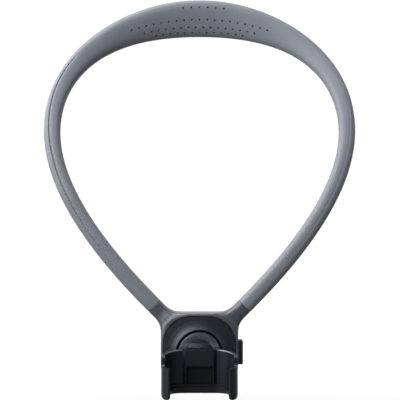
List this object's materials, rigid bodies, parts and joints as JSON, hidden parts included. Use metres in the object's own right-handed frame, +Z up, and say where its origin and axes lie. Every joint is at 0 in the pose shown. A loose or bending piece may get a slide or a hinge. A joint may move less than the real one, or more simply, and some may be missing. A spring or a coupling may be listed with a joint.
{
  "type": "camera neck mount",
  "caption": "Neck loop of soft grey rubber on a rounded square housing, with a swivelling hub, an open C-shaped cradle for a small camera and a side release button.",
  "frame": {"origin": "middle of the nape pad's face, where the loop bears on the wearer's neck", "axes": "+Z up along the loop's height, -Y to the front where the camera looks, +X to the side of the release button"},
  "size_m": [0.2078, 0.1055, 0.2638],
  "materials": {
    "grey_silicone": "matt silicone with a soft sheen",
    "core_strip": "plain rolled strip",
    "foam": "soft closed-cell foam",
    "grey_housing": "fine matt moulding",
    "black_cover": "fine matt moulding",
    "hub_plastic": "satin moulding",
    "cradle_plastic": "satin moulding",
    "button_plastic": "satin moulding",
    "black_rubber": "matt rubber",
    "steel": "plain",
    "bush_brass": "turned"
  },
  "bodies": {
    "housing": {"loop_sleeve": "grey_silicone", "loop_core": "core_strip", "nape_cushion": "foam", "yoke_frame": "grey_housing", "core_clamps": "steel", "clamp_screws": "steel", "front_cover": "black_cover", "socket_bush": "bush_brass", "latch_keeper": "black_cover", "keeper_screws": "steel", "back_cover": "black_cover", "housing_screws": "steel", "chest_pad": "black_rubber", "screw_plugs": "black_rubber", "latch_springs": "steel"},
    "cradle": {"swivel_disc": "hub_plastic", "friction_ring": "black_rubber", "hub_screw": "steel", "locating_pins": "steel", "cradle_body": "cradle_plastic", "left_jaw_liner": "black_rubber", "right_jaw_liner": "black_rubber", "recess_pad": "black_rubber"},
    "release": {"latch_slide": "steel", "release_button": "button_plastic"}
  },
  "joints": [
    {"name": "cradle_swivel", "type": "hinge", "parent": "housing", "child": "cradle", "pos_m": [0, -0.06288, -0.22454], "axis": [0, 1, 0], "continuous": true},
    {"name": "release_press", "type": "slide", "parent": "housing", "child": "release", "axis": [-1, 0, 0], "range_m": [0, 0.0022], "stiffness_N_per_m": 1000, "springref_m": -0.002, "deforming": ["latch_springs"]}
  ]
}
